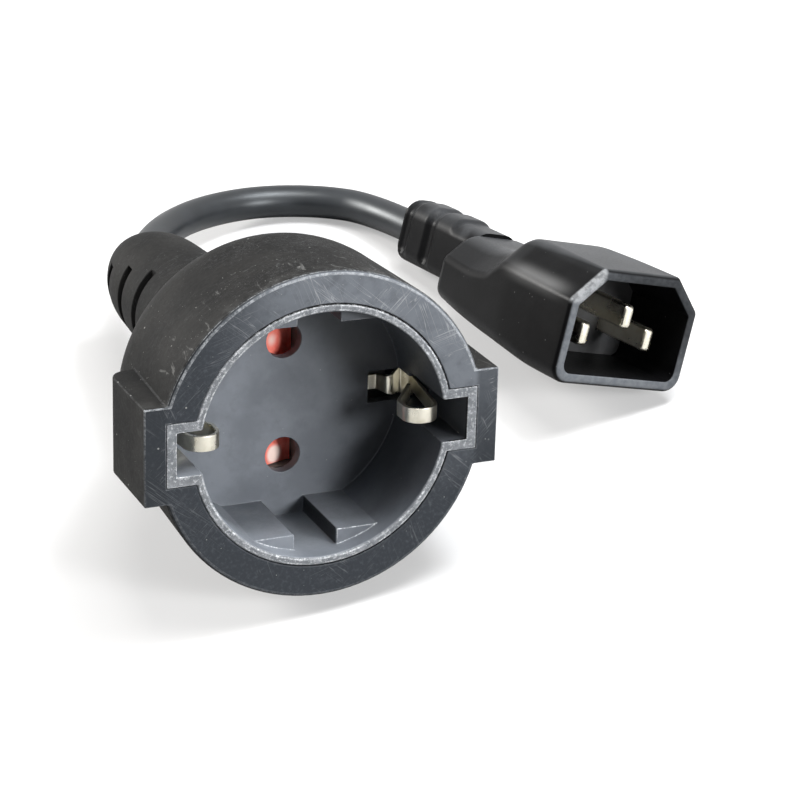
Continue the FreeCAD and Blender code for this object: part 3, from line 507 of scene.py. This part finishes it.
def plated(name, colour, shade, rough, matrix):
    """Nickel or brass: slight tarnish and faint rolling marks along the strip."""
    m = Shade(name)
    vector = m.local(matrix)
    patch = m.noise(vector, 0.35, 3.0, 0.5)
    grain = m.noise(vector, 0.6, 2.0, 0.5, (1.0, 0.3, 0.5))
    m.set(Base_Color=m.mix(m.times(m.fade(patch, 0.45, 0.8), 0.6), colour, shade),
          Metallic=1.0, Roughness=m.fade(grain, 0.25, 0.75, rough, rough + 0.1))
    m.bump(grain, 0.03, 0.00003)
    return m.material


MATERIALS = {
    "socket": socket_plastic(),
    "socket_edge": socket_plastic(edge=True),
    "insert": insert_plastic(),
    "insert_edge": insert_plastic(edge=True),
    "plug": plug_plastic(),
    "sheath": sheath_plastic(),
    "inner": plain_plastic("inner_plastic", (0.2, 0.2, 0.19), 0.5),
    "floor": plain_plastic("plug_floor", (0.03, 0.031, 0.033), 0.45),
    "red": shutter_plastic(),
    "clips": plated("clip_nickel", (0.74, 0.71, 0.61), (0.5, 0.46, 0.35), 0.26, SOCKET),
    "pins": plated("pin_nickel", (0.88, 0.84, 0.72), (0.72, 0.66, 0.52), 0.24, PLUG),
    "brass": plated("contact_brass", (0.78, 0.6, 0.28), (0.6, 0.42, 0.18), 0.28, SOCKET),
    "steel": plated("spring_steel", (0.62, 0.62, 0.62), (0.45, 0.45, 0.45), 0.25, SOCKET),
    "brown": plain_plastic("core_brown", (0.2, 0.09, 0.04), 0.45),
    "blue": plain_plastic("core_blue", (0.05, 0.15, 0.5), 0.45),
    "green": plain_plastic("core_green", (0.25, 0.5, 0.08), 0.45),
}

# The solids that show as they are, and their materials.
DRESSED = {
    "pin_carrier": "floor",
    "contact_carrier": "inner",
    "carrier_cap": "inner",
    "live_contact": "brass",
    "neutral_contact": "brass",
    "shutter": "red",
    "socket_live_core": "brown",
    "plug_live_core": "brown",
    "socket_neutral_core": "blue",
    "plug_neutral_core": "blue",
    "socket_earth_core": "green",
    "plug_earth_core": "green",
}


def dress(name, material):
    """Give a solid its material."""
    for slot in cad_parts[name].material_slots:
        slot.material = material


def to_object(bm, name, materials, sharp):
    """Object of a bmesh, smooth but for edges of more than sharp degrees."""
    mesh = bpy.data.meshes.new(name)
    bm.to_mesh(mesh)
    bm.free()
    mesh.shade_smooth()
    mesh.set_sharp_from_angle(angle=math.radians(sharp))
    for material in materials:
        mesh.materials.append(material)
    ob = bpy.data.objects.new(name, mesh)
    scene.collection.objects.link(ob)
    even = ob.modifiers.new("even", "WEIGHTED_NORMAL")
    even.keep_sharp = True
    return ob


def softened(name, body, width, *materials, angle=28.0, segments=2):
    """A copy of a CAD node, in its place, with its sharp edges rounded.

    The last material is the one on the rounded edges.
    """
    bm = bmesh.new()
    bm.from_mesh(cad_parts[name].data)
    bmesh.ops.remove_doubles(bm, verts=bm.verts, dist=WELD)
    bmesh.ops.dissolve_limit(bm, angle_limit=math.radians(FLAT), verts=bm.verts,
                             edges=bm.edges)
    for face in bm.faces:
        face.material_index = 0
    sharp = [edge for edge in bm.edges
             if edge.is_manifold and edge.calc_face_angle() > math.radians(angle)]
    bmesh.ops.bevel(bm, geom=sharp, offset=width, offset_type="OFFSET", segments=segments,
                    profile=0.5, affect="EDGES", clamp_overlap=False,
                    material=len(materials) - 1)
    ob = to_object(bm, f"{name}_soft", materials, COPY_SHARP)
    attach(ob, body)
    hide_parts(name)
    return ob


def smooth_step(value, low, high):
    """0 below low, 1 above high, and a soft change between them."""
    t = min(max((value - low) / (high - low), 0.0), 1.0)
    return t * t * (3 - 2 * t)


def places(start, end, gap):
    """Places from start to just before end, a gap apart."""
    while start < end:
        yield start
        start += gap


def quarter(radius, steps=5):
    """Distances back and in along a quarter circle, for a rounded end."""
    angles = (math.pi / 2 * step / steps for step in range(steps + 1))
    return [(radius * (1 - math.cos(a)), radius * (1 - math.sin(a))) for a in angles]


def eased(keys, values, spot):
    """Value at spot on a smooth line through the values that never overshoots them."""
    index = max(i for i, key in enumerate(keys[:-1]) if key <= spot)
    rises = [(values[i + 1] - values[i]) / (keys[i + 1] - keys[i])
             for i in range(len(keys) - 1)]

    def slope(i):
        if i in (0, len(keys) - 1):
            return rises[min(i, len(rises) - 1)]
        before, after = rises[i - 1], rises[i]
        return 0.0 if before * after <= 0 else 2 * before * after / (before + after)

    width = keys[index + 1] - keys[index]
    t = (spot - keys[index]) / width
    return ((1 + 2 * t) * (1 - t) ** 2 * values[index]
            + t * (1 - t) ** 2 * width * slope(index)
            + t * t * (3 - 2 * t) * values[index + 1]
            + t * t * (t - 1) * width * slope(index + 1))


def rounded(corners, steps=6):
    """Closed line through the corners (x, z, radius), each rounded by an arc."""
    line = []
    for index, (x, z, radius) in enumerate(corners):
        spot = Vector((x, z))
        back = (Vector(corners[index - 1][:2]) - spot).normalized()
        ahead = (Vector(corners[(index + 1) % len(corners)][:2]) - spot).normalized()
        half = back.angle(ahead) / 2
        centre = spot + (back + ahead).normalized() * radius / math.sin(half)
        start = spot + back * radius / math.tan(half) - centre
        turn = math.pi - 2 * half
        for step in range(steps + 1):
            line.append(centre + Matrix.Rotation(turn * step / steps, 2) @ start)
    return line


def plug_section(half, top, bottom, chamfer, corner, upper, lower, inset=0.0):
    """Section of the plug, with its two upper corners cut off, moved in by the inset."""
    half, top, bottom = half - inset, top - inset, bottom - inset
    chamfer -= inset * (2 - math.sqrt(2))
    corner, upper, lower = (max(value - inset, LEAST_ROUND)
                            for value in (corner, upper, lower))
    return rounded([(half, top - chamfer, lower), (half - chamfer, top, upper),
                    (chamfer - half, top, upper), (-half, top - chamfer, lower),
                    (-half, -bottom, corner), (half, -bottom, corner)])


def grip_rings():
    """Rings of the shroud and grip: out of the recess, over the rim and to the relief."""
    keys = [row[0] for row in PLUG_SHAPE]
    columns = list(zip(*PLUG_SHAPE))[1:]

    def shape(place, inset=0.0):
        return place, plug_section(*(eased(keys, column, place) for column in columns),
                                   inset)

    rings = [(INLET_BACK, plug_section(*INLET))]
    rings += [(place, plug_section(*INLET, inset)) for place, inset in INLET_LIP]
    rings += [shape(place, inset) for place, inset in quarter(RIM_ROUND)]
    rings += [shape(place) for place in places(GRIP_START, keys[-1] - GRIP_ROUND, GRIP_STEP)]
    rings += [shape(keys[-1] - back, inset) for back, inset in reversed(quarter(GRIP_ROUND))]
    return rings


def relief_rings():
    """Rings of the relief: a tapering bar with a low stem, two grooves and a round end."""
    start, end = RELIEF_SPAN
    rings = []
    # a hair past the end, so that the last ring lies on it
    for place in places(start, end + 0.01, RELIEF_STEP):
        half = RELIEF_HALF - RELIEF_TAPER * (place - start) / (end - start)
        tip = max(place - (end - RELIEF_ROUND), 0.0)
        inset = RELIEF_ROUND - math.sqrt(max(RELIEF_ROUND ** 2 - tip ** 2, 0.0))
        upper, lower = (radius - loss * inset for radius, loss in (RELIEF_UPPER, RELIEF_LOWER))
        stem = 1.0 - smooth_step(place, *RELIEF_STEM)
        groove = max(smooth_step(place, low - GROOVE_OUTSIDE, low + GROOVE_INSIDE)
                     * (1 - smooth_step(place, high - GROOVE_INSIDE, high + GROOVE_OUTSIDE))
                     for low, high in RELIEF_GROOVES)
        line = rounded([(half - inset, RELIEF_TOP - inset, upper),
                        (inset - half, RELIEF_TOP - inset, upper),
                        (inset - half, inset - RELIEF_BOTTOM, lower),
                        (half - inset, inset - RELIEF_BOTTOM, lower)])
        bent = []
        for x, z in line:
            pinch = groove * smooth_step(z, *GROOVE_SIDES) * GROOVE_PINCH
            drop = GROOVE_DEPTH * max(groove, stem) if z > GROOVE_FOOT else 0.0
            bent.append(Vector((x * (1 - pinch), z - drop * smooth_step(z, *GROOVE_CROWN))))
        rings.append((place, bent))
    return rings


def skin(bm, rings):
    """Closed surface through rings of points, given in the plug's own millimetres."""
    rows = [[bm.verts.new(PLUG @ (Vector((x, place, z)) / MM)) for x, z in line]
            for place, line in rings]
    for first, second in zip(rows, rows[1:]):
        for index in range(len(first)):
            bm.faces.new((first[index - 1], first[index], second[index],
                          second[index - 1]))
    bm.faces.new(rows[0])
    bm.faces.new(reversed(rows[-1]))


def plug_skin(material):
    """Moulding of the inlet plug: rounded shroud and grip, and a relief in soft rings."""
    bm = bmesh.new()
    skin(bm, grip_rings())
    skin(bm, relief_rings())
    bmesh.ops.recalc_face_normals(bm, faces=bm.faces)
    ob = to_object(bm, "plug_skin", [material], SKIN_SHARP)
    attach(ob, "socket")
    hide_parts("plug_moulding")
    return ob


def cord(material, plug):
    """The free cord: one spline from the socket's relief to the plug's."""
    spots = [SOCKET @ Vector((x, y, 0)) for x, y in ROUTE]
    relief_end = RELIEF_SPAN[1] / MM
    spots += [PLUG @ Vector((0, relief_end + LAST_RUN, 0)),
              PLUG @ Vector((0, relief_end, 0))]
    data = bpy.data.curves.new("cord", "CURVE")
    data.dimensions = "3D"
    data.bevel_depth = CORD_RADIUS
    data.bevel_resolution = 8
    data.use_fill_caps = True
    spline = data.splines.new("NURBS")
    spline.points.add(len(spots) - 1)
    for point, spot in zip(spline.points, spots):
        point.co = (*spot, 1)
    spline.order_u = 3
    spline.use_endpoint_u = True
    spline.resolution_u = 24
    ob = bpy.data.objects.new("cord", data)
    scene.collection.objects.link(ob)
    ob.data.materials.append(material)
    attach(ob, "socket")
    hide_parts("cord_sheath")
    tuple(spots[0])


def camera():
    """The view of the photo."""
    data = bpy.data.cameras.new("camera")
    data.lens = CAMERA_LENS
    data.sensor_width = CAMERA_SENSOR
    data.clip_start = 0.01
    ob = bpy.data.objects.new("camera", data)
    ob.location = CAMERA_PLACE
    ob.rotation_euler = CAMERA_TURN
    scene.collection.objects.link(ob)
    scene.camera = ob


def lamp(name, place, target, width, height, power, colour):
    """A soft area light that looks at the target."""
    data = bpy.data.lights.new(name, "AREA")
    data.energy = power
    data.color = colour
    data.shape = "RECTANGLE"
    data.size = width
    data.size_y = height
    ob = bpy.data.objects.new(name, data)
    ob.location = place
    ob.rotation_euler = (Vector(target) - Vector(place)).to_track_quat("-Z", "Y").to_euler()
    scene.collection.objects.link(ob)


def surroundings():
    """A dim fill for the light, and plain white for what is seen or mirrored."""
    world = bpy.data.worlds.new("world")
    scene.world = world
    world.use_nodes = True
    w = Nodes(world.node_tree)
    fill = w.tree.nodes["Background"]
    w.put(fill.inputs["Color"], FILL_COLOUR)
    w.put(fill.inputs["Strength"], FILL_STRENGTH)
    seen = w.node("Background", {"Color": WHITE, "Strength": 1.0})
    rays = w.node("LightPath").outputs
    white = w.either(rays["Is Camera Ray"], rays["Is Glossy Ray"],
                     rays["Is Transmission Ray"])
    mix = w.node("MixShader", {0: white, 1: fill.outputs[0], 2: seen.outputs[0]})
    w.put(w.tree.nodes["World Output"].inputs["Surface"], mix.outputs[0])


def floor():
    """White backdrop: it glows to the camera, and the part's shadow still darkens it."""
    bpy.ops.mesh.primitive_plane_add(size=FLOOR_SIZE)
    ob = bpy.context.object
    ob.name = "floor"
    m = Shade("floor")
    m.set(Base_Color=FLOOR_TONE, Roughness=0.9)
    away = m.node("VectorMath", {0: m.place}, operation="LENGTH").outputs["Value"]
    glow = m.node("Emission", {"Color": WHITE,
                               "Strength": m.fade(away, GLOW_NEAR, GLOW_FAR, FLOOR_GLOW)})
    seen = m.node("MixShader", {0: m.node("LightPath").outputs["Is Camera Ray"],
                                2: glow.outputs[0]})
    total = m.node("AddShader", {0: m.shader.outputs[0], 1: seen.outputs[0]})
    m.put(m.tree.nodes["Material Output"].inputs["Surface"], total.outputs[0])
    ob.data.materials.append(m.material)
    ob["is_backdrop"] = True


for solid, key in DRESSED.items():
    dress(solid, MATERIALS[key])
moulding = softened("outer_moulding", "socket", MOULDING_EDGE, MATERIALS["socket"],
                    MATERIALS["socket_edge"])
insert = softened("socket_cup", "socket", INSERT_EDGE, MATERIALS["insert"],
                  MATERIALS["insert_edge"])
blades = [softened(name, "socket", BLADE_EDGE, MATERIALS["pins"], segments=3)
          for name in ("live_pin", "neutral_pin", "earth_pin")]
clips = softened("earth_bracket", "socket", CLIP_EDGE, MATERIALS["clips"])
spring = softened("shutter_spring", "socket", SPRING_EDGE, MATERIALS["steel"], angle=80.0)
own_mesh(spring)
cord(MATERIALS["sheath"], plug_skin(MATERIALS["plug"]))
camera()
surroundings()
for row in LAMPS:
    lamp(*row)
floor()
seen_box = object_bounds()
[[list(corner) for corner in box] for box in (cad_box, seen_box)]
